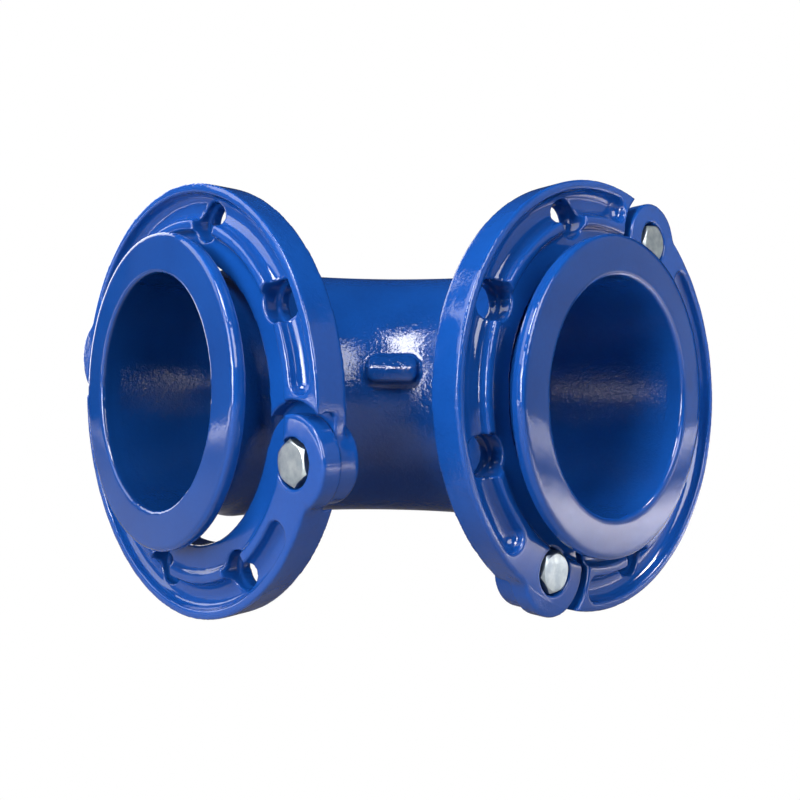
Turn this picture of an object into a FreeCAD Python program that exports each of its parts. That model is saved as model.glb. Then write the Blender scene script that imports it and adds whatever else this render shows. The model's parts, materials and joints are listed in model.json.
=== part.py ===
import FreeCAD, Part
import math
import os

from FreeCAD import Placement, Rotation, Vector

# A cast quarter bend for a 150 mm pipeline, with a loose split flange behind each collar.
# Lengths are in millimetres and angles in degrees. The origin is the middle of port A's
# gasket face. Port A faces -Y, port B faces +X and +Z is up.

# Elbow casting
face_to_centre = 220.0
bend_radius = 165.0
bend_od = 174.0
wall_t = 8.75
bore_d = bend_od - 2 * wall_t
neck_step = 3.0
neck_od = bend_od - 2 * neck_step
neck_swell = 9.0
collar_lip = 21.0
collar_od = neck_od + 2 * collar_lip
collar_t = 10.0
collar_front_round = 2.5
collar_back_round = 3.0
collar_root_fillet = 4.0
bore_mouth_chamfer = 1.5
bend_pieces = 4

# Lug cast on the inside of the bend
lug_bend_angle = 48.7
lug_rise_angle = 10.6
lug_w = 33.0
lug_h = 18.0
lug_corner_r = 5.5
lug_reach_crease = 9.0
lug_reach_bottom = 7.0
lug_reach_top = 4.5
lug_crease_up = -0.9
lug_round = 1.2

# Loose flange, cast as two equal halves, from its bore out to its rim
neck_play = 23.0
flange_bore_d = neck_od + neck_play
recess_land_w = 16.0
recess_flare = 2.5
recess_floor_d = flange_bore_d + 2 * recess_land_w
recess_top_d = recess_floor_d + 2 * recess_flare
recess_depth = 4.0
ridge_w = 6.2
pocket_w = 17.3
rim_w = 6.0
pocket_id = recess_top_d + 2 * ridge_w
pocket_od = pocket_id + 2 * pocket_w
flange_od = pocket_od + 2 * rim_w
flange_t = 22.0
flange_front_round = 1.2
flange_back_round = 1.5
pocket_depth = 9.0
pocket_corner_round = 8.0
pocket_floor_fillet = 7.5

# Holes for the studs of the mating flange
stud_inset = 23.5
stud_circle_d = flange_od - 2 * stud_inset
stud_hole_d = 23.0
stud_pitch_angle = 45.0
stud_holes_per_half = 3
spot_face_margin = 1.5
spot_face_d = stud_hole_d + 2 * spot_face_margin
spot_face_depth = 15.0
spot_face_fillet = 2.0

# Lapped ears that hold the two halves together
ear_bolt_inset = 18.6
ear_bolt_radius = flange_od / 2 - ear_bolt_inset
front_ear_r = 28.2
front_ear_t = 13.5
rear_ear_r = 25.6
rear_ear_t = 15.5
ear_blend_r = 9.0
front_ear_gap = 7.4
rear_ear_gap = 2.9
front_relief_r = front_ear_r + front_ear_gap
rear_relief_r = rear_ear_r + rear_ear_gap
ear_hole_d = 18.0
counterbore_d = 29.5
counterbore_fillet = 0.8

# Solid land left between the pocket's ends and the ears
relief_land_w = 2.4
front_ear_land_w = 8.7
pocket_start_angle = math.degrees(math.asin((front_relief_r + relief_land_w) / ear_bolt_radius))
pocket_end_angle = 180 - math.degrees(math.asin((front_ear_r + front_ear_land_w) / ear_bolt_radius))

# M16 bolt at each lap, screwed into the rear ear
bolt_d = 16.0
bolt_length = 25.0
bolt_end_chamfer = 1.5
head_across_flats = 24.0
head_h = 10.0
head_proud = 0.8
thread_clearance = 0.05
hex_chamfer_angle = 30.0
hex_end_share = 0.95

# How the loose flanges hang on the necks, as seen from outside each port. The gap is the one
# behind the collar. Hang and joint angles run anticlockwise from the port's level axis, and
# bolt turn is the angle of the bolt heads from the flange's radius.
neck_clearance = 0.3
flange_pose = {
    "a": {
        "gap": 7.0, "hang": -37.5, "lean_across": 2.4, "lean_up": -1.6,
        "joint": -15.0, "bolt_turn": -8.0,
    },
    "b": {
        "gap": 9.0, "hang": 5.9, "lean_across": -1.7, "lean_up": 1.3,
        "joint": 62.4, "bolt_turn": 4.0,
    },
}

# Each port's frame has +Z out of the port and +X level, to the right as seen from outside.
port_frame = {
    "a": Placement(Vector(0, 0, 0), Rotation(Vector(1, 0, 0), Vector(0, 0, 1), Vector(0, -1, 0))),
    "b": Placement(
        Vector(face_to_centre, face_to_centre, 0),
        Rotation(Vector(0, 1, 0), Vector(0, 0, 1), Vector(1, 0, 0)),
    ),
}
axis_z = Vector(0, 0, 1)
bend_centre = Vector(bend_radius, face_to_centre - bend_radius, 0)


def polar(radius, angle, height=0.0):
    """Point at a radius and an angle round Z."""
    turn = math.radians(angle)
    return Vector(radius * math.cos(turn), radius * math.sin(turn), height)


def cylinder(diameter, low, high, centre=Vector(0, 0, 0)):
    """Round bar along Z between two heights."""
    return Part.makeCylinder(diameter / 2, high - low, Vector(centre.x, centre.y, low), axis_z)


def sector(reach, low, high, first_angle, last_angle):
    """Wedge round Z between two angles and two heights."""
    span = last_angle - first_angle
    wedge = Part.makeCylinder(reach, high - low, Vector(0, 0, low), axis_z, span)
    wedge.rotate(Vector(0, 0, 0), axis_z, first_angle)
    return wedge


def rounded_outline(corners):
    """Closed wire through corners (x, z, rounding radius) in the XZ plane."""
    tangents = []
    for index, (x, z, radius) in enumerate(corners):
        here = Vector(x, 0, z)
        before = Vector(corners[index - 1][0], 0, corners[index - 1][1]) - here
        after_x, after_z, _ = corners[(index + 1) % len(corners)]
        after = Vector(after_x, 0, after_z) - here
        before.normalize()
        after.normalize()
        half_turn = before.getAngle(after) / 2
        setback = radius / math.tan(half_turn)
        inward = before + after
        inward.normalize()
        middle = here + inward * (radius / math.sin(half_turn) - radius)
        tangents.append((here + before * setback, middle, here + after * setback, radius))
    edges = []
    for index, (start, middle, end, radius) in enumerate(tangents):
        previous_end = tangents[index - 1][2]
        if previous_end.distanceToPoint(start) > 1e-6:
            edges.append(Part.LineSegment(previous_end, start).toShape())
        if radius > 0:
            edges.append(Part.Arc(start, middle, end).toShape())
    return Part.Wire(edges)


def turned(corners):
    """Solid of revolution round Z from an outline (radius, height, rounding)."""
    return Part.Face(rounded_outline(corners)).revolve(Vector(0, 0, 0), axis_z, 360)


def level_edges(shape, height):
    """Edges that lie flat at one height."""
    return [
        edge for edge in shape.Edges
        if abs(edge.BoundBox.ZMin - height) < 1e-4 and abs(edge.BoundBox.ZMax - height) < 1e-4
    ]


def upright_edges_near(shape, point, reach):
    """Edges along Z whose plan position lies within reach of a point."""
    found = []
    for edge in shape.Edges:
        ends = [vertex.Point for vertex in edge.Vertexes]
        if len(ends) != 2 or (ends[1] - ends[0]).cross(axis_z).Length > 1e-6:
            continue
        if math.hypot(ends[0].x - point.x, ends[0].y - point.y) < reach:
            found.append(edge)
    return found


def port_end():
    """Collar, neck and its swell to the bend, along -Z from the gasket face."""
    straight = face_to_centre - bend_radius
    swell_start = straight - neck_swell
    return turned([
        (0, 0, 0),
        (collar_od / 2, 0, collar_front_round),
        (collar_od / 2, -collar_t, collar_back_round),
        (neck_od / 2, -collar_t, collar_root_fillet),
        (neck_od / 2, -swell_start, 0),
        (bend_od / 2, -straight, 0),
        (0, -straight, 0),
    ])


def port_bore():
    """Straight bore of one port with a chamfered mouth, along -Z from the gasket face."""
    straight = face_to_centre - bend_radius
    mouth_r = bore_d / 2 + bore_mouth_chamfer
    return turned([
        (0, 1, 0),
        (mouth_r, 1, 0),
        (mouth_r, 0, 0),
        (bore_d / 2, -bore_mouth_chamfer, 0),
        (bore_d / 2, -straight, 0),
        (0, -straight, 0),
    ])


def bend_sweep(diameter):
    """Round bar that follows the quarter bend between the two straight stubs."""
    start = bend_centre - Vector(bend_radius, 0, 0)
    circle = Part.makeCircle(diameter / 2, start, Vector(0, 1, 0))
    return Part.Face(Part.Wire(circle)).revolve(bend_centre, Vector(0, 0, -1), 90)


def bend_lug():
    """Wedge-faced lug on the inside of the bend, with rounded corners."""
    inward_r = bend_od / 2
    section = Part.Face(Part.makePolygon([
        Vector(inward_r / 2, 0, -lug_h / 2),
        Vector(inward_r + lug_reach_bottom, 0, -lug_h / 2),
        Vector(inward_r + lug_reach_crease, 0, lug_crease_up),
        Vector(inward_r + lug_reach_top, 0, lug_h / 2),
        Vector(inward_r / 2, 0, lug_h / 2),
        Vector(inward_r / 2, 0, -lug_h / 2),
    ]))
    section.translate(Vector(0, -lug_w / 2, 0))
    wedge = section.extrude(Vector(0, lug_w, 0))
    outline = Part.makeBox(
        inward_r + lug_reach_crease, lug_w, lug_h, Vector(0, -lug_w / 2, -lug_h / 2)
    )
    along = [edge for edge in outline.Edges if edge.BoundBox.XLength > inward_r]
    lug = wedge.common(outline.makeFillet(lug_corner_r, along)).removeSplitter()
    face_edges = [edge for edge in lug.Edges if edge.BoundBox.XMin > inward_r]
    lug = lug.makeFillet(lug_round, face_edges)
    lug.rotate(Vector(0, 0, 0), Vector(0, 1, 0), -lug_rise_angle)
    lug.translate(Vector(-bend_radius, 0, 0))
    lug.rotate(Vector(0, 0, 0), axis_z, -lug_bend_angle)
    lug.translate(bend_centre)
    return lug.cut(bend_sweep(bend_od))


def elbow_casting():
    """The bend with its two collars, hollow from port to port."""
    outside = bend_sweep(bend_od)
    inside = bend_sweep(bore_d)
    for frame in port_frame.values():
        end = port_end()
        bore = port_bore()
        end.Placement = frame
        bore.Placement = frame
        outside = outside.fuse(end)
        inside = inside.fuse(bore)
    return outside.cut(inside).removeSplitter()


def elbow_pieces():
    """The casting in stretches that meet face to face, and its lug."""
    casting = elbow_casting()
    straight = face_to_centre - bend_radius
    pieces = {"elbow_lug": bend_lug()}
    for port, frame in port_frame.items():
        for name, low, high in (("collar", -collar_t, 0), ("neck", -straight, -collar_t)):
            stretch = cylinder(2 * collar_od, low, high)
            stretch.Placement = frame
            pieces[f"elbow_{name}_{port}"] = casting.common(stretch)
    span = 90 / bend_pieces
    for number in range(bend_pieces):
        first_angle = 180 - span * (number + 1)
        stretch = sector(2 * bend_radius, -bend_od, bend_od, first_angle, first_angle + span)
        stretch.translate(bend_centre)
        pieces[f"elbow_bend_{number + 1}"] = casting.common(stretch)
    return pieces


def pocket_cutter():
    """Curved trough between the rim and the inner ridge, with rounded corners and floor."""
    inner_r = pocket_id / 2
    outer_r = pocket_od / 2
    middle_angle = (pocket_start_angle + pocket_end_angle) / 2
    inner = Part.Arc(
        polar(inner_r, pocket_start_angle),
        polar(inner_r, middle_angle),
        polar(inner_r, pocket_end_angle),
    )
    outer = Part.Arc(
        polar(outer_r, pocket_start_angle),
        polar(outer_r, middle_angle),
        polar(outer_r, pocket_end_angle),
    )
    ends = [
        Part.LineSegment(polar(inner_r, angle), polar(outer_r, angle))
        for angle in (pocket_start_angle, pocket_end_angle)
    ]
    plan = Part.Face(Part.Wire(Part.__sortEdges__([
        edge.toShape() for edge in (inner, outer, *ends)
    ])))
    plan.translate(Vector(0, 0, -pocket_depth))
    trough = plan.extrude(Vector(0, 0, pocket_depth))
    corners = [
        edge
        for radius in (inner_r, outer_r)
        for angle in (pocket_start_angle, pocket_end_angle)
        for edge in upright_edges_near(trough, polar(radius, angle), 0.1)
    ]
    trough = trough.makeFillet(pocket_corner_round, corners)
    return trough.makeFillet(pocket_floor_fillet, level_edges(trough, -pocket_depth))


def sunk_cutter(diameter, depth, floor_fillet, centre):
    """Round sinking from the flange's front, with a filleted floor."""
    sinking = cylinder(diameter, -depth, 1.0, centre)
    return sinking.makeFillet(floor_fillet, level_edges(sinking, -depth))


def ear(radius, low, high, bolt_angle):
    """Round ear about a lap bolt, blended into the rim on both sides."""
    bolt = polar(ear_bolt_radius, bolt_angle)
    disc = cylinder(2 * radius, low, high, bolt)
    rim = cylinder(flange_od, low, high)
    both = rim.fuse(disc).removeSplitter()
    rim_r = flange_od / 2
    cosine = (rim_r ** 2 - ear_bolt_radius ** 2 - radius ** 2) / (2 * ear_bolt_radius * radius)
    waist = radius * math.sin(math.acos(cosine)) / rim_r
    corners = [
        edge
        for side in (-1, 1)
        for edge in upright_edges_near(
            both, polar(rim_r, bolt_angle + side * math.degrees(math.asin(waist))), 1.0
        )
    ]
    return both.makeFillet(ear_blend_r, corners)


def half_flange():
    """One half of a flange, from its rear ear at angle 0 round to its front ear at 180.

    The flange's front is at height 0 and its back at -flange_t.
    """
    lap = -front_ear_t
    back = -flange_t
    ear_back = lap - rear_ear_t
    rear_bolt = polar(ear_bolt_radius, 0)
    front_bolt = polar(ear_bolt_radius, 180)

    front_reach = sector(flange_od, lap, 0, 0, 180).fuse(cylinder(2 * front_ear_r, lap, 0, front_bolt))
    front_plate = ear(front_ear_r, lap, 0, 180).common(front_reach)
    front_plate = front_plate.cut(cylinder(2 * front_relief_r, lap, 0, rear_bolt))
    rear_reach = sector(flange_od, back, lap, 0, 180).fuse(cylinder(2 * rear_ear_r, back, lap, rear_bolt))
    rear_plate = ear(rear_ear_r, back, lap, 0).common(rear_reach)
    rear_plate = rear_plate.cut(cylinder(2 * rear_relief_r, back, lap, front_bolt))
    rear_boss = cylinder(2 * rear_ear_r, ear_back, back, rear_bolt)

    half = front_plate.fuse([rear_plate, rear_boss])
    half = half.cut(cylinder(flange_bore_d, ear_back, 0))
    half = half.cut(Part.makeCone(
        recess_floor_d / 2, recess_top_d / 2, recess_depth, Vector(0, 0, -recess_depth)
    ))
    half = half.cut(pocket_cutter())
    studs = [polar(stud_circle_d / 2, stud_pitch_angle * (n + 1)) for n in range(stud_holes_per_half)]
    for stud in studs:
        half = half.cut(sunk_cutter(spot_face_d, spot_face_depth, spot_face_fillet, stud))
    half = half.removeSplitter()
    half = half.makeFillet(flange_front_round, level_edges(half, 0))
    half = half.makeFillet(flange_back_round, level_edges(half, ear_back))

    for stud in studs:
        half = half.cut(cylinder(stud_hole_d, back, 0, stud))
    head_seat = head_h - head_proud
    half = half.cut(sunk_cutter(counterbore_d, head_seat, counterbore_fillet, front_bolt))
    half = half.cut(cylinder(ear_hole_d, lap, 0, front_bolt))
    return half.cut(cylinder(bolt_d + 2 * thread_clearance, ear_back, lap, rear_bolt))


def hexagon(low, high):
    """Hexagon bar along Z, the corners of its upper end chamfered."""
    corner_r = head_across_flats / math.sqrt(3)
    end_r = head_across_flats * hex_end_share / 2
    drop = (corner_r - end_r) * math.tan(math.radians(hex_chamfer_angle))
    corners = [polar(corner_r, 60 * n, low) for n in range(7)]
    bar = Part.Face(Part.makePolygon(corners)).extrude(Vector(0, 0, high - low))
    return bar.common(turned([
        (0, low, 0),
        (corner_r, low, 0),
        (corner_r, high - drop, 0),
        (end_r, high, 0),
        (0, high, 0),
    ]))


def joint_bolt():
    """Hexagon bolt whose head sits in the front ear's counterbore."""
    seat = head_proud - head_h
    end = seat - bolt_length
    shank = turned([
        (0, seat, 0),
        (bolt_d / 2, seat, 0),
        (bolt_d / 2, end + bolt_end_chamfer, 0),
        (bolt_d / 2 - bolt_end_chamfer, end, 0),
        (0, end, 0),
    ])
    return hexagon(seat, head_proud).fuse(shank)


def flange_frame(port):
    """Frame of a flange that hangs on its neck: origin and +Z at the middle of its front."""
    pose = flange_pose[port]
    lean = Rotation(Vector(0, 1, 0), pose["lean_across"])
    lean = lean.multiply(Rotation(Vector(1, 0, 0), -pose["lean_up"]))
    normal = lean.multVec(axis_z)
    hang = polar(1, pose["hang"])
    lean_towards_hang = normal.dot(hang)
    play = flange_bore_d / 2 * normal.z - neck_od / 2 - neck_clearance
    resting_depth = recess_depth if lean_towards_hang > 0 else flange_t
    shift = hang * (play + resting_depth * lean_towards_hang)
    return port_frame[port].multiply(Placement(shift - axis_z * (collar_t + pose["gap"]), lean))


def placed(shape, port, angle, radius=0.0, turn=0.0):
    """Copy of a shape turned on its own axis, at an angle and a radius round a flange."""
    copy = shape.copy()
    copy.Placement = (
        flange_frame(port)
        .multiply(Placement(Vector(0, 0, 0), Rotation(axis_z, angle)))
        .multiply(Placement(Vector(radius, 0, 0), Rotation(axis_z, turn)))
    )
    return copy


os.makedirs("parts", exist_ok=True)
pieces = elbow_pieces()
half = half_flange()
bolt = joint_bolt()
for port, pose in flange_pose.items():
    for number in (1, 2):
        angle = pose["joint"] + 180 * (number - 1)
        pieces[f"flange_{port}_half_{number}"] = placed(half, port, angle)
        pieces[f"joint_bolt_{port}_{number}"] = placed(
            bolt, port, angle, ear_bolt_radius, pose["bolt_turn"]
        )
for name, piece in pieces.items():
    piece.exportStep(f"parts/{name}.step")
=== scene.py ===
import bpy
import json
import math
from mathutils import Matrix, Vector


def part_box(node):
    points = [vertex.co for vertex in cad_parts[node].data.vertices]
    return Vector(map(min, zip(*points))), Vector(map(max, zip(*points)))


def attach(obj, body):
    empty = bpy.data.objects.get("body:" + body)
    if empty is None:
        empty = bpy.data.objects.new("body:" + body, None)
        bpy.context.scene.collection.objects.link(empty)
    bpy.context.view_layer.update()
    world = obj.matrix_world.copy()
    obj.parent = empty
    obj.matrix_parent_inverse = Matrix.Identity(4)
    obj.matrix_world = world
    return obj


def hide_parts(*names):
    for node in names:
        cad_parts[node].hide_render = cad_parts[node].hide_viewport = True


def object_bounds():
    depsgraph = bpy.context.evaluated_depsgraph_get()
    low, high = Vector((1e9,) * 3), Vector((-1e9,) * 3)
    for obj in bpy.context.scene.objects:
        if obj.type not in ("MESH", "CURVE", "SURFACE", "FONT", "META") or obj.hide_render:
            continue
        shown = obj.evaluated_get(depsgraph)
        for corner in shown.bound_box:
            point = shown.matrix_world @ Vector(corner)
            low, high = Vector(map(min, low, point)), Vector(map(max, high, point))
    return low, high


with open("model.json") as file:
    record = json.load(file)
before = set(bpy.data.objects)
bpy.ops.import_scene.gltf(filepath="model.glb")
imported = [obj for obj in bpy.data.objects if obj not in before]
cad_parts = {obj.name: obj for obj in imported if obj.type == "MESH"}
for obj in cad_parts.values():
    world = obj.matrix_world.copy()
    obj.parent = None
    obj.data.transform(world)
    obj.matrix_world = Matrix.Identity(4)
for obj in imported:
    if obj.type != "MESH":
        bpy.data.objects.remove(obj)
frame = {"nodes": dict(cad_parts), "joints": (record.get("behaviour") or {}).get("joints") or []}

MM = 0.001
WHITE = (1, 1, 1, 1)
cad_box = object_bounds()

# Camera, set where the photograph was taken. Lens and sensor in millimetres.
CAMERA_PLACE = (0.49647, -0.23567, 0.00058)
CAMERA_AZIMUTH = math.radians(47.07)
CAMERA_ELEVATION = math.radians(-0.441)
CAMERA_ROLL = math.radians(0.648)
CAMERA_LENS = 35.70
SENSOR_WIDTH = 36.0
NEAREST_SEEN = 0.01

# Lights, set round the crook of the bend. Azimuth 0 is in front of port A and 90 in front of
# port B, in degrees. Lengths are in metres and power in watts.
CROOK = Vector((0.15, 0.13, 0.05))
SOFTBOXES = {
    "key": {"azimuth": 18, "elevation": 48, "distance": 1.30, "size": 0.44, "power": 14.0},
    "front": {"azimuth": 5, "elevation": 14, "distance": 1.20, "size": 0.60, "power": 10.0},
    "low_front": {"azimuth": 10, "elevation": 4, "distance": 1.20, "size": 0.40, "power": 7.0},
    "left": {"azimuth": -35, "elevation": 35, "distance": 1.40, "size": 0.90, "power": 7.5},
    "right": {"azimuth": 84, "elevation": 30, "distance": 1.40, "size": 0.80, "power": 16.5},
    "left_wall": {"azimuth": -90, "elevation": 20, "distance": 3.50, "size": 2.60, "power": 70.0},
    "front_wall": {"azimuth": -45, "elevation": 14, "distance": 3.50, "size": 2.60, "power": 2.0},
    "right_wall": {"azimuth": 135, "elevation": 14, "distance": 3.50, "size": 2.60, "power": 10.0},
}
FLOOR_LIGHTS = {
    "floor_left": {"offset": (-1.60, -2.40, 0.80), "size": 2.00, "power": 225.0},
    "floor_back": {"offset": (2.00, 2.20, 0.80), "size": 2.20, "power": 144.0},
    "floor_beside": {"offset": (0.40, 0.50, 0.40), "size": 0.40, "power": 12.5},
}
FLOOR_LIGHT_SPREAD = math.radians(70)
LIGHT_COLOUR = (1.0, 0.98, 1.0)
ROOM_COLOUR = (0.70, 0.78, 1.0, 1)
ROOM_STRENGTH = 0.03

# Castings: the grain is the finest detail that each one keeps.
PORTS = ("a", "b")
HALVES = (1, 2)
ELBOW_NODES = [name for name in frame["nodes"] if name.startswith("elbow_")]
ELBOW_GRAIN = 1.5 * MM
HALF_GRAIN = 1.0 * MM
COAT_FLOW = 0.5
COAT_FLOW_PASSES = 6
TRIANGLES_PER_CASTING = 185000
TRIANGLES_PER_FACE = 2
BORE_RADIUS = 78.25 * MM
RIM_RADIUS = 143.5 * MM
PORT_A_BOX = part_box("elbow_collar_a")
PORT_B_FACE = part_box("elbow_collar_b")[1].x

# Epoxy coat. Its blue is darker on the flat faces of both collars, and darker still inside port A's
# bore, which is painted shade. A depth of 1 multiplies the blue by the darkening tone, and a larger
# one goes on past it.
# Scales are in cells per metre, here and below.
BLUE_THIN = (0.0050, 0.056, 0.26, 1)
BLUE_THICK = (0.0040, 0.043, 0.21, 1)
THICK_SPAN = (0.45, 0.95)
COAT_CLOUD_SCALE = 22.0
COAT_SPECK_SCALE = 420.0
COAT_SPECK_WEIGHT = 0.35
# Darkening tone, for the collar faces and for the painted shade in port A's bore
FACE_AND_BORE_SHADE_TONE = (0.74, 0.74, 0.74, 1)
FACE_EDGE = (0.3 * MM, 0.9 * MM)
# Painted shade in port A's bore: how strongly it darkens, the radius it reaches, and where along the
# bore it fades out
BORE_SHADE_DEPTH = 1.95
BORE_SHADE_EDGE = (BORE_RADIUS + 0.4 * MM, BORE_RADIUS + 1.2 * MM)
BORE_SHADE_FADE = (60 * MM, 122 * MM)
COAT_IOR = 1.52
GLOSS_ROUGHNESS = (0.035, 0.085)
GLOSS_CLOUD_SCALE = 35.0
DUST_SCALE = 900.0
DUST_SPAN = (0.55, 0.75)
DUST_ROUGHNESS = (0.0, 0.05)
PEEL_HEIGHT = 0.10 * MM
PEEL_SLOW_SCALE = 60.0
PEEL_FINE_SCALE = 330.0
PEEL_FINE_WEIGHT = 0.22

# Sand cast skin under the coat
SKIN_HEIGHT = 0.30 * MM
LUMP_SCALE = 150.0
LUMP_WARP = 0.6
RIPPLE_SCALE = 420.0
RIPPLE_WARP = 0.8
RIPPLE_WEIGHT = 0.75
PIT_SCALE = 700.0
PIT_SPAN = (0.1, 0.7)
PIT_WEIGHT = 0.18
SKIN_PAST_COLLAR_A = (8 * MM, 14 * MM)
SKIN_BEFORE_COLLAR_B = (206 * MM, 212 * MM)
BEND_PATCH_SCALE = 16.0
BEND_PATCH_SPAN = (0.32, 0.54)
BEND_PATCH_LEVELS = (0.35, 1.0)
RIM_EDGE = (RIM_RADIUS - 1.5 * MM, RIM_RADIUS - 0.3 * MM)
RIM_LEVELS = (0.10, 1.0)
RIM_PATCH_SCALE = 30.0
RIM_PATCH_SPAN = (0.42, 0.62)
RIM_PATCH_LEVELS = (0.12, 1.0)

# Zinc plating of the bolts
ZINC_DULL = (0.36, 0.43, 0.46, 1)
ZINC_BRIGHT = (0.58, 0.65, 0.63, 1)
ZINC_CLOUD_SCALE = 160.0
ZINC_CLOUD_SPAN = (0.35, 0.7)
ZINC_GLOSS_SCALE = 700.0
ZINC_ROUGHNESS = (0.30, 0.46)
ZINC_GRAIN_SCALE = 520.0
ZINC_GRAIN_HEIGHT = 0.06 * MM

# Floor
FLOOR_REACH = 6.0
PAPER_TONE = (0.30, 0.29, 0.30, 1)
PAPER_SCALE = 3.0
PAPER_ROUGHNESS = (0.86, 0.92)

# Ranges shared by several materials
NOISE_SPAN = (0.3, 0.7)
RISING = (0.0, 1.0)
FALLING = (1.0, 0.0)


def new_object(name, mesh):
    """Object for a mesh, linked to the scene."""
    obj = bpy.data.objects.new(name, mesh)
    bpy.context.scene.collection.objects.link(obj)
    return obj


def bake_modifiers(obj):
    """Works the object's modifiers into its mesh."""
    depsgraph = bpy.context.evaluated_depsgraph_get()
    mesh = bpy.data.meshes.new_from_object(obj.evaluated_get(depsgraph))
    obj.modifiers.clear()
    obj.data = mesh


def joined_mesh(nodes):
    """One mesh that holds the meshes of several CAD nodes."""
    vertices, faces = [], []
    for node in nodes:
        obj = frame["nodes"][node]
        offset = len(vertices)
        vertices += [obj.matrix_world @ vertex.co for vertex in obj.data.vertices]
        faces += [[offset + index for index in face.vertices] for face in obj.data.polygons]
    mesh = bpy.data.meshes.new(nodes[0])
    mesh.from_pydata(vertices, [], faces)
    return mesh


def coated_casting(name, nodes, grain, material):
    """Casting with its CAD form, its edges softened as a fused coat softens them."""
    obj = new_object(name, joined_mesh(nodes))
    remesh = obj.modifiers.new("grain", "REMESH")
    remesh.mode = "VOXEL"
    remesh.voxel_size = grain
    flow = obj.modifiers.new("flow", "SMOOTH")
    flow.factor = COAT_FLOW
    flow.iterations = COAT_FLOW_PASSES
    bake_modifiers(obj)
    triangles = TRIANGLES_PER_FACE * len(obj.data.polygons)
    if triangles > TRIANGLES_PER_CASTING:
        thin = obj.modifiers.new("thin", "DECIMATE")
        thin.ratio = TRIANGLES_PER_CASTING / triangles
        bake_modifiers(obj)
    obj.data.polygons.foreach_set("use_smooth", [True] * len(obj.data.polygons))
    obj.data.materials.clear()
    obj.data.materials.append(material)
    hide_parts(*nodes)
    return obj


def add(tree, kind, inputs=None, **settings):
    """New node with its settings, and its inputs set to values or linked to sockets."""
    node = tree.nodes.new(kind)
    for name, value in settings.items():
        setattr(node, name, value)
    for name, value in (inputs or {}).items():
        if isinstance(value, bpy.types.NodeSocket):
            tree.links.new(value, node.inputs[name])
        else:
            node.inputs[name].default_value = value
    return node


def new_group(name, output, kind):
    """Node group that turns a place into one output: its tree, the place and the output's socket."""
    tree = bpy.data.node_groups.new(name, "ShaderNodeTree")
    tree.interface.new_socket("Place", in_out="INPUT", socket_type="NodeSocketVector")
    tree.interface.new_socket(output, in_out="OUTPUT", socket_type=kind)
    place = tree.nodes.new("NodeGroupInput").outputs["Place"]
    return tree, place, tree.nodes.new("NodeGroupOutput").inputs[output]


def from_group(tree, group, place):
    """What a node group gives at a place."""
    node = tree.nodes.new("ShaderNodeGroup")
    node.node_tree = group
    tree.links.new(place, node.inputs["Place"])
    return node.outputs[0]


def ramp(tree, value, span, levels):
    """Value taken from a span to a pair of levels, held at its ends."""
    return add(tree, "ShaderNodeMapRange", {
        "Value": value, "From Min": span[0], "From Max": span[1],
        "To Min": levels[0], "To Max": levels[1],
    }).outputs["Result"]


def math_node(tree, operation, first, second):
    """One operation on two numbers or sockets."""
    node = add(tree, "ShaderNodeMath", {0: first, 1: second}, operation=operation)
    return node.outputs["Value"]


def vector_node(tree, operation, first, second):
    """One operation on two vectors or sockets."""
    node = add(tree, "ShaderNodeVectorMath", {0: first, 1: second}, operation=operation)
    return node.outputs["Vector"]


def length(tree, vector):
    return add(tree, "ShaderNodeVectorMath", {0: vector}, operation="LENGTH").outputs["Value"]


def noise(tree, place, scale, detail, roughness=0.5, distortion=0.0):
    """Smooth noise from 0 to 1."""
    return add(tree, "ShaderNodeTexNoise", {
        "Vector": place, "Scale": scale, "Detail": detail,
        "Roughness": roughness, "Distortion": distortion,
    }).outputs["Fac"]


def mixed_colour(tree, factor, first, second, **settings):
    """Colour between two colours."""
    return add(
        tree, "ShaderNodeMix", {"Factor": factor, "A": first, "B": second},
        data_type="RGBA", **settings,
    ).outputs["Result"]


def bump(tree, height, distance, **under):
    """Surface direction for a height from 0 to 1 over a distance, on top of another if given."""
    return add(tree, "ShaderNodeBump", {
        "Strength": 1.0, "Distance": distance, "Height": height, **under,
    }).outputs["Normal"]


def camera_sees(tree, seen, otherwise):
    """One shader for the camera and another for all other rays."""
    path = add(tree, "ShaderNodeLightPath")
    return add(tree, "ShaderNodeMixShader", {
        "Fac": path.outputs["Is Camera Ray"], 1: otherwise, 2: seen,
    }).outputs["Shader"]


def coat_tone_group():
    """Blue of the fused coat, a little deeper where it lies thick."""
    tree, place, colour = new_group("coat_tone", "Color", "NodeSocketColor")
    cloud = noise(tree, place, COAT_CLOUD_SCALE, 3.0)
    speck = noise(tree, place, COAT_SPECK_SCALE, 2.0)
    specks = math_node(tree, "MULTIPLY", speck, COAT_SPECK_WEIGHT)
    thickness = ramp(tree, math_node(tree, "ADD", cloud, specks), THICK_SPAN, RISING)
    tree.links.new(mixed_colour(tree, thickness, BLUE_THIN, BLUE_THICK), colour)
    return tree


def coat_gloss_group():
    """Roughness of the fused coat, with cloudy patches and fine dust."""
    tree, place, roughness = new_group("coat_gloss", "Roughness", "NodeSocketFloat")
    cloud = ramp(tree, noise(tree, place, GLOSS_CLOUD_SCALE, 4.0), NOISE_SPAN, GLOSS_ROUGHNESS)
    dust = ramp(tree, noise(tree, place, DUST_SCALE, 2.0), DUST_SPAN, DUST_ROUGHNESS)
    tree.links.new(math_node(tree, "ADD", cloud, dust), roughness)
    return tree


def orange_peel_group():
    """Height of the coat's slow unevenness."""
    tree, place, height = new_group("orange_peel", "Height", "NodeSocketFloat")
    slow = noise(tree, place, PEEL_SLOW_SCALE, 2.0)
    fine = math_node(tree, "MULTIPLY", noise(tree, place, PEEL_FINE_SCALE, 1.0), PEEL_FINE_WEIGHT)
    tree.links.new(math_node(tree, "ADD", slow, fine), height)
    return tree


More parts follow.
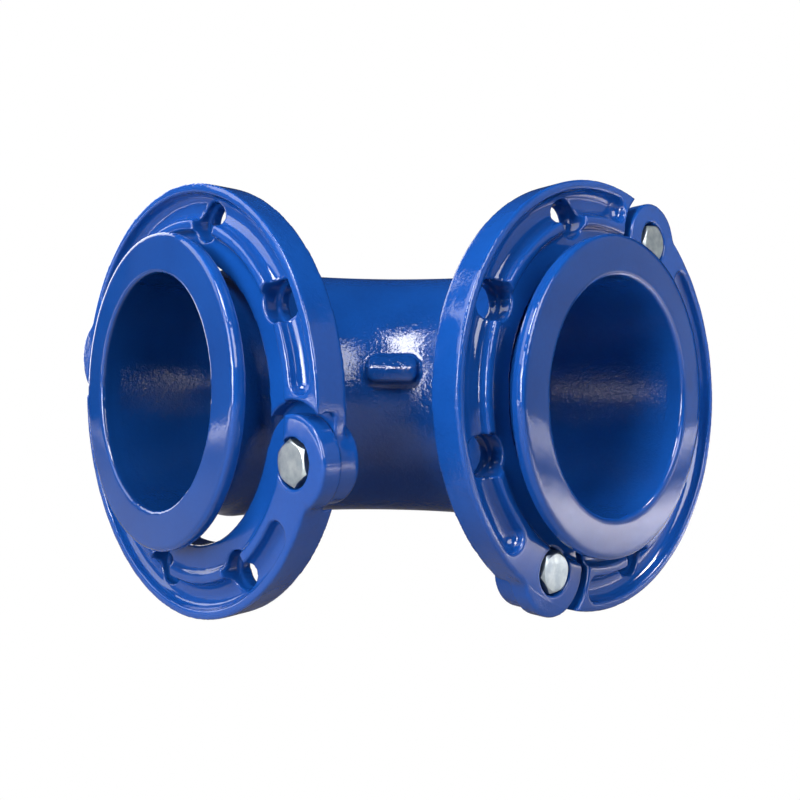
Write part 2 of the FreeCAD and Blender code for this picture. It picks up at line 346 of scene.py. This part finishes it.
def cast_skin_group():
    """Height of the sand cast skin under the coat: lumps, short ripples and fine pits."""
    tree, place, height = new_group("cast_skin", "Height", "NodeSocketFloat")
    lumps = noise(tree, place, LUMP_SCALE, 2.0, distortion=LUMP_WARP)
    ripple = noise(tree, place, RIPPLE_SCALE, 3.0, 0.6, RIPPLE_WARP)
    uneven = math_node(tree, "ADD", lumps, math_node(tree, "MULTIPLY", ripple, RIPPLE_WEIGHT))
    cells = add(
        tree, "ShaderNodeTexVoronoi", {"Vector": place, "Scale": PIT_SCALE, "Randomness": 1.0},
        feature="SMOOTH_F1",
    )
    pits = ramp(tree, cells.outputs["Distance"], PIT_SPAN, (0.0, PIT_WEIGHT))
    tree.links.new(math_node(tree, "ADD", uneven, pits), height)
    return tree


def principled(name):
    """New material: the material, its tree, its Principled shader and the place on the object."""
    material = bpy.data.materials.new(name)
    material.use_nodes = True
    tree = material.node_tree
    place = add(tree, "ShaderNodeTexCoord").outputs["Object"]
    return material, tree, tree.nodes["Principled BSDF"], place


def epoxy(name, coat, skin_mask):
    """Blue epoxy over cast iron, darker in places: on the collar faces, and with painted shade in
    port A's bore. The mask says where the cast skin shows.
    """
    material, tree, shader, place = principled(name)
    # Base colour darkened on the collar faces, and with painted shade in port A's bore
    blue = mixed_colour(
        tree, darker_faces_and_bore_shade(tree, place), from_group(tree, coat["tone"], place), FACE_AND_BORE_SHADE_TONE,
        blend_type="MULTIPLY", clamp_factor=False,
    )
    tree.links.new(blue, shader.inputs["Base Color"])
    tree.links.new(from_group(tree, coat["gloss"], place), shader.inputs["Roughness"])
    peel = bump(tree, from_group(tree, coat["peel"], place), PEEL_HEIGHT)
    skin = from_group(tree, coat["skin"], place)
    shown = math_node(tree, "MULTIPLY", skin, skin_mask(tree, place))
    tree.links.new(bump(tree, shown, SKIN_HEIGHT, Normal=peel), shader.inputs["Normal"])
    shader.inputs["IOR"].default_value = COAT_IOR
    return material


def darker_faces_and_bore_shade(tree, place):
    """Where the blue is darker: the flat faces of both collars, and more so port A's bore, where the
    darkening is painted shade.
    """
    parts = add(tree, "ShaderNodeSeparateXYZ", {"Vector": place}).outputs
    face_a = ramp(tree, parts["Y"], FACE_EDGE, FALLING)
    behind_b = math_node(tree, "SUBTRACT", PORT_B_FACE, parts["X"])
    face_b = ramp(tree, behind_b, FACE_EDGE, FALLING)
    low, high = PORT_A_BOX
    # Painted shade inside port A's bore, strongest over the first 60 mm in and gone by 122 mm
    arm = vector_node(tree, "SUBTRACT", place, (low + high) / 2)
    across = vector_node(tree, "MULTIPLY", arm, (1, 0, 1))
    within = ramp(tree, length(tree, across), BORE_SHADE_EDGE, FALLING)
    fade = ramp(tree, parts["Y"], BORE_SHADE_FADE, (BORE_SHADE_DEPTH, 0.0))
    bore = math_node(tree, "MULTIPLY", within, fade)
    return math_node(tree, "MAXIMUM", math_node(tree, "MAXIMUM", face_a, face_b), bore)


def bend_skin(tree, place):
    """Mask for the elbow: rough skin in patches, and none on the turned collars."""
    parts = add(tree, "ShaderNodeSeparateXYZ", {"Vector": place}).outputs
    past_a = ramp(tree, parts["Y"], SKIN_PAST_COLLAR_A, RISING)
    past_b = ramp(tree, parts["X"], SKIN_BEFORE_COLLAR_B, FALLING)
    patches = ramp(
        tree, noise(tree, place, BEND_PATCH_SCALE, 2.0), BEND_PATCH_SPAN, BEND_PATCH_LEVELS
    )
    return math_node(tree, "MULTIPLY", math_node(tree, "MULTIPLY", past_a, past_b), patches)


def rim_skin(port):
    """Mask for the flange at a port: rough skin on the rim's side and past it, little elsewhere."""
    joint = next(joint for joint in frame["joints"] if joint["name"] == f"flange_{port}_turn")

    def mask(tree, place):
        arm = vector_node(tree, "SUBTRACT", place, joint["pos_m"])
        reach = length(tree, vector_node(tree, "CROSS_PRODUCT", arm, joint["axis"]))
        side = ramp(tree, reach, RIM_EDGE, RIM_LEVELS)
        patches = ramp(
            tree, noise(tree, place, RIM_PATCH_SCALE, 2.0), RIM_PATCH_SPAN, RIM_PATCH_LEVELS
        )
        return math_node(tree, "MULTIPLY", side, patches)

    return mask


def zinc_plating():
    """Zinc plated steel, slightly cloudy, with a fine grain."""
    material, tree, shader, place = principled("zinc_plating")
    cloud = ramp(tree, noise(tree, place, ZINC_CLOUD_SCALE, 4.0), ZINC_CLOUD_SPAN, RISING)
    gloss = ramp(tree, noise(tree, place, ZINC_GLOSS_SCALE, 3.0), NOISE_SPAN, ZINC_ROUGHNESS)
    grain = noise(tree, place, ZINC_GRAIN_SCALE, 4.0, 0.6)
    tree.links.new(mixed_colour(tree, cloud, ZINC_DULL, ZINC_BRIGHT), shader.inputs["Base Color"])
    tree.links.new(gloss, shader.inputs["Roughness"])
    tree.links.new(bump(tree, grain, ZINC_GRAIN_HEIGHT), shader.inputs["Normal"])
    shader.inputs["Metallic"].default_value = 1.0
    return material


def floor_paper():
    """Even white for the camera, and grey paper in the reflections."""
    material, tree, shader, place = principled("floor_paper")
    gloss = ramp(tree, noise(tree, place, PAPER_SCALE, 3.0), NOISE_SPAN, PAPER_ROUGHNESS)
    tree.links.new(gloss, shader.inputs["Roughness"])
    shader.inputs["Base Color"].default_value = PAPER_TONE
    seen = add(tree, "ShaderNodeEmission", {"Color": WHITE, "Strength": 1.0})
    paper = camera_sees(tree, seen.outputs["Emission"], shader.outputs["BSDF"])
    tree.links.new(paper, tree.nodes["Material Output"].inputs["Surface"])
    return material


def set_camera():
    """Camera at the photograph's place, turned by azimuth, elevation and roll."""
    forward = Vector((
        -math.sin(CAMERA_AZIMUTH) * math.cos(CAMERA_ELEVATION),
        math.cos(CAMERA_AZIMUTH) * math.cos(CAMERA_ELEVATION),
        math.sin(CAMERA_ELEVATION),
    ))
    level = Vector((math.cos(CAMERA_AZIMUTH), math.sin(CAMERA_AZIMUTH), 0))
    upright = level.cross(forward)
    right = level * math.cos(CAMERA_ROLL) + upright * math.sin(CAMERA_ROLL)
    up = upright * math.cos(CAMERA_ROLL) - level * math.sin(CAMERA_ROLL)
    camera = new_object("camera", bpy.data.cameras.new("camera"))
    camera.data.lens = CAMERA_LENS
    camera.data.sensor_width = SENSOR_WIDTH
    camera.data.clip_start = NEAREST_SEEN
    turn = Matrix((right, up, -forward)).transposed().to_4x4()
    camera.matrix_world = Matrix.Translation(CAMERA_PLACE) @ turn
    bpy.context.scene.camera = camera


def area_light(name, place, facing, size, power):
    """Square area light that the camera doesn't see."""
    light = bpy.data.lights.new(name, "AREA")
    light.size = size
    light.energy = power
    light.color = LIGHT_COLOUR
    obj = new_object(name, light)
    obj.location = place
    obj.rotation_euler = facing.to_track_quat("-Z", "Y").to_euler()
    obj.visible_camera = False
    return light


def softbox(name, azimuth, elevation, distance, size, power):
    """Light that faces the crook of the bend."""
    turn = math.radians(azimuth)
    rise = math.radians(elevation)
    away = Vector((
        math.sin(turn) * math.cos(rise), -math.cos(turn) * math.cos(rise), math.sin(rise)
    ))
    area_light(name, CROOK + away * distance, -away, size, power)


def floor_light(name, offset, size, power):
    """Light that faces down and lights a part of the floor."""
    light = area_light(name, CROOK + Vector(offset), Vector((0, 0, -1)), size, power)
    light.spread = FLOOR_LIGHT_SPREAD


def build_room():
    """White surround for the camera, and a dim room in the reflections."""
    world = bpy.data.worlds.new("studio")
    bpy.context.scene.world = world
    world.use_nodes = True
    tree = world.node_tree
    tree.nodes.clear()
    room = add(tree, "ShaderNodeBackground", {"Color": ROOM_COLOUR, "Strength": ROOM_STRENGTH})
    seen = add(tree, "ShaderNodeBackground", {"Color": WHITE, "Strength": 1.0})
    surround = camera_sees(tree, seen.outputs["Background"], room.outputs["Background"])
    add(tree, "ShaderNodeOutputWorld", {"Surface": surround})
    bpy.context.scene.view_settings.view_transform = "Standard"


def build_floor():
    """Square of paper under the elbow's flanges."""
    floor_level = cad_box[0].z
    corners = [
        (x * FLOOR_REACH, y * FLOOR_REACH, floor_level)
        for x, y in ((-1, -1), (1, -1), (1, 1), (-1, 1))
    ]
    mesh = bpy.data.meshes.new("floor")
    mesh.from_pydata(corners, [], [(0, 1, 2, 3)])
    mesh.materials.append(floor_paper())
    new_object("floor", mesh)


set_camera()
build_room()
build_floor()
for name, setting in SOFTBOXES.items():
    softbox(name, **setting)
for name, setting in FLOOR_LIGHTS.items():
    floor_light(name, **setting)

coat = {
    "tone": coat_tone_group(),
    "gloss": coat_gloss_group(),
    "peel": orange_peel_group(),
    "skin": cast_skin_group(),
}
elbow_epoxy = epoxy("elbow_epoxy", coat, bend_skin)
flange_epoxy = {port: epoxy(f"flange_{port}_epoxy", coat, rim_skin(port)) for port in PORTS}
plating = zinc_plating()

elbow = coated_casting("elbow_casting", ELBOW_NODES, ELBOW_GRAIN, elbow_epoxy)
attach(elbow, "elbow")
for port in PORTS:
    for number in HALVES:
        node = f"flange_{port}_half_{number}"
        half = coated_casting(f"{node}_casting", [node], HALF_GRAIN, flange_epoxy[port])
        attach(half, f"flange_{port}")
        bolt = frame["nodes"][f"joint_bolt_{port}_{number}"]
        bolt.data.materials.clear()
        bolt.data.materials.append(plating)
